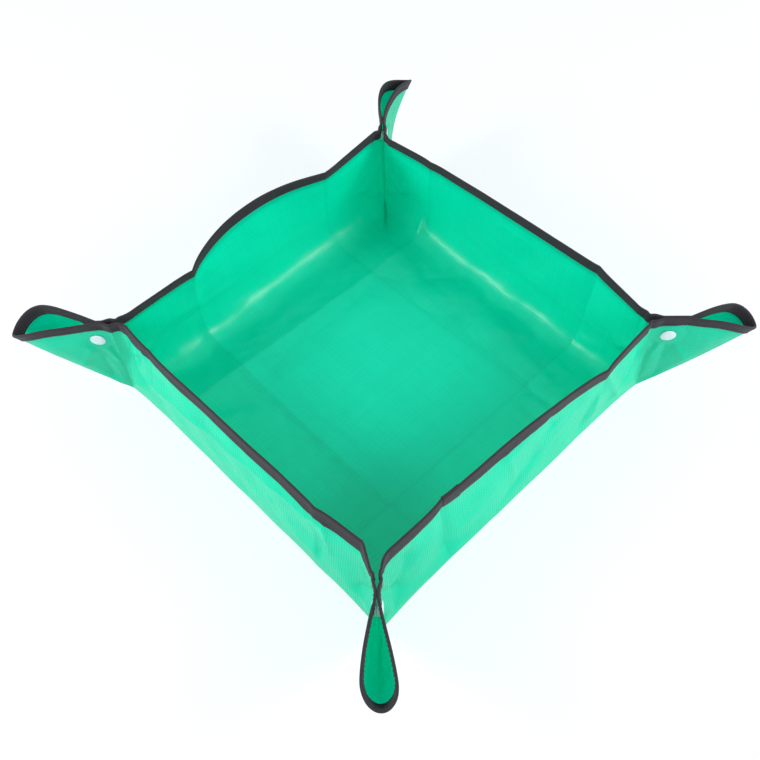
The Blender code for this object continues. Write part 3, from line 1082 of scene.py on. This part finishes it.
def make_cap(ear):
    """The round outer button, with the post that goes through the sheet to its mate."""
    points, faces = turned_form(cap_profile(), CAP_SIDES)
    turn = Vector((0, 0, 1)).rotation_difference(Vector(ear.normal)).to_matrix().to_4x4()
    mesh = bpy.data.meshes.new("cap")
    mesh.from_pydata(points, [], faces)
    mesh.transform(Matrix.Translation(ear.snap) @ turn)
    mesh.update()
    mesh.shade_smooth()
    mesh.set_sharp_from_angle(angle=math.radians(50))
    piece = add_piece(f"cap_{ear.name}", mesh, WHITE)
    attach(piece, f"ear_{ear.name}")
    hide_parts(f"snap_cap_{ear.name}")


def make_floor():
    places, flats = floor_place(COLUMNS[None, :], COLUMNS[:, None])
    piece = add_piece("panel_floor", grid_mesh("panel_floor", places, flats), GREEN)
    thicken(piece, SHEET_THICKNESS)
    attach(piece, "floor")
    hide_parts("sheet_floor")
    declare(flats)


def make_cove(wall):
    """The soft turn beside a wall."""
    places, flats = cove_place(wall, COLUMNS[None, :], COVE_STEPS[:, None])
    name = f"cove_{wall}"
    piece = add_piece(name, grid_mesh(name, places, flats), GREEN)
    thicken(piece, SHEET_THICKNESS)
    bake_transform(piece)
    declare(flats)


def ride_wall(piece, wall):
    """A wall's piece rides on the wall, with a mesh of its own."""
    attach(piece, f"wall_{wall}")
    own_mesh(piece)


def ride_ear(piece, ear):
    """An ear's piece rides on the ear, with a mesh of its own."""
    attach(piece, f"ear_{ear.name}")
    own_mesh(piece)


def make_wall(wall):
    """A wall of the tray with its binding, and on the east wall the end of the tape."""
    start = cove_size(wall, COLUMNS)[None, :]
    top = WALL_HEIGHT - EDGE_INSET
    rises = start + (top - start) * RISES[:, None]
    places, flats = wall_place(wall, COLUMNS[None, :], rises)
    name = f"panel_{wall}"
    piece = add_piece(name, grid_mesh(name, places, flats), GREEN)
    thicken(piece, SHEET_THICKNESS)

    def place(share, depth):
        return wall_place(wall, share, WALL_HEIGHT - depth)[0]

    tape = make_tape(f"binding_{wall}", place, COLUMNS, 1 - np.abs(COLUMNS), WALL_FACES)
    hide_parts(f"tape_wall_{wall}")
    pieces = [tape, make_stitches(f"stitches_{wall}", place, -1, 1)]
    if wall == "east":
        reach = LAP_LENGTH / 2 / FLOOR_HALF
        along = spread(LAP_SHARE - reach, LAP_SHARE + reach, 9)
        away = 1 - np.abs(along)
        lap = make_tape("binding_lap", place, along, away, WALL_FACES, LAP_THICKNESS)
        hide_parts("tape_lap")
        pieces.append(lap)
    for each in [piece] + pieces:
        ride_wall(each, wall)
    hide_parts(f"sheet_wall_{wall}")
    declare(flats)


def make_ear(ear):
    """Half an ear with its binding and its part of the snap."""
    shares = ear_columns(ear.corner)
    places, flats = ear.place(shares[None, :], reach=RISES[:, None])
    name = f"panel_ear_{ear.name}"
    piece = add_piece(name, grid_mesh(name, places, flats, fan=True), GREEN)
    thicken(piece, SHEET_THICKNESS)

    def place(share, depth):
        return ear.place(share, depth)[0]

    # The binding's first face is the inner one on the first half, the outer on the second
    faces = EAR_FACES if ear.side > 0 else EAR_FACES[::-1]
    tape = make_tape(f"binding_ear_{ear.name}", place, shares, shares, faces)
    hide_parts(f"tape_ear_{ear.name}")
    stitches = make_stitches(f"stitches_ear_{ear.name}", place, 0, 1)
    for each in (piece, tape, stitches):
        ride_ear(each, ear)
    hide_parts(f"sheet_ear_{ear.name}")
    declare(flats)
    make_cap(ear)
    # The stud and the socket are the solids themselves
    kind = "stud" if ear.side > 0 else "socket"
    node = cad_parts[f"snap_{kind}_{ear.name}"]
    for spot in node.material_slots:
        spot.material = WHITE


def add_ground():
    mesh = bpy.data.meshes.new("ground")
    reach = GROUND_REACH
    corners = [(-reach, -reach, 0), (reach, -reach, 0), (reach, reach, 0), (-reach, reach, 0)]
    mesh.from_pydata(corners, [], [[0, 1, 2, 3]])
    ground = add_piece("ground", mesh, pale_ground())
    ground.location.z = -GROUND_DROP


def add_world():
    """The studio lights the tray softly and is nearly white to the eye."""
    studio = Finish(bpy.data.worlds.new("studio"))
    lighting = {"Color": STUDIO_LIGHT, "Strength": STUDIO_STRENGTH}
    light = studio.node("ShaderNodeBackground", sockets=lighting)
    backdrop = studio.node("ShaderNodeBackground", sockets={"Color": STUDIO_SEEN})
    seen = studio.node("ShaderNodeLightPath", output="Is Camera Ray")
    both = studio.layers(seen, light, backdrop)
    bpy.context.scene.world = studio.finished(both, "ShaderNodeOutputWorld")


def direction(azimuth, elevation):
    """The way from the tray to a lamp or the camera, in degrees from the front and up."""
    turn = math.radians(azimuth)
    up = math.radians(elevation)
    level = math.cos(up)
    return Vector((math.sin(turn) * level, -math.cos(turn) * level, math.sin(up)))


def add_lamp(name, azimuth, elevation, distance, size, power):
    """A soft lamp that faces the tray."""
    lamp = bpy.data.lights.new(name, "AREA")
    lamp.shape = "SQUARE"
    lamp.size = size
    lamp.energy = power
    item = bpy.data.objects.new(name, lamp)
    bpy.context.scene.collection.objects.link(item)
    back = direction(azimuth, elevation)
    item.location = back * distance
    item.rotation_euler = back.to_track_quat("Z", "Y").to_euler()


def add_camera():
    lens = bpy.data.cameras.new("camera")
    lens.lens = CAMERA_LENS
    lens.sensor_width = CAMERA_SENSOR
    camera = bpy.data.objects.new("camera", lens)
    bpy.context.scene.collection.objects.link(camera)
    back = direction(CAMERA_AZIMUTH, CAMERA_ELEVATION)
    camera.location = Vector(CAMERA_TARGET) + back * CAMERA_DISTANCE
    facing = (-back).to_track_quat("-Z", "Y").to_matrix()
    roll = Euler((0, 0, math.radians(CAMERA_ROLL))).to_matrix()
    camera.rotation_euler = (facing @ roll).to_euler()
    bpy.context.scene.camera = camera


add_camera()
make_floor()
for wall in WALLS:
    make_cove(wall)
    make_wall(wall)
for corner, walls in CORNERS.items():
    for wall in walls:
        make_ear(EarHalf(corner, wall))
add_ground()
add_world()
for lamp in LAMPS:
    add_lamp(*lamp)
bpy.context.scene.view_settings.view_transform = "Standard"
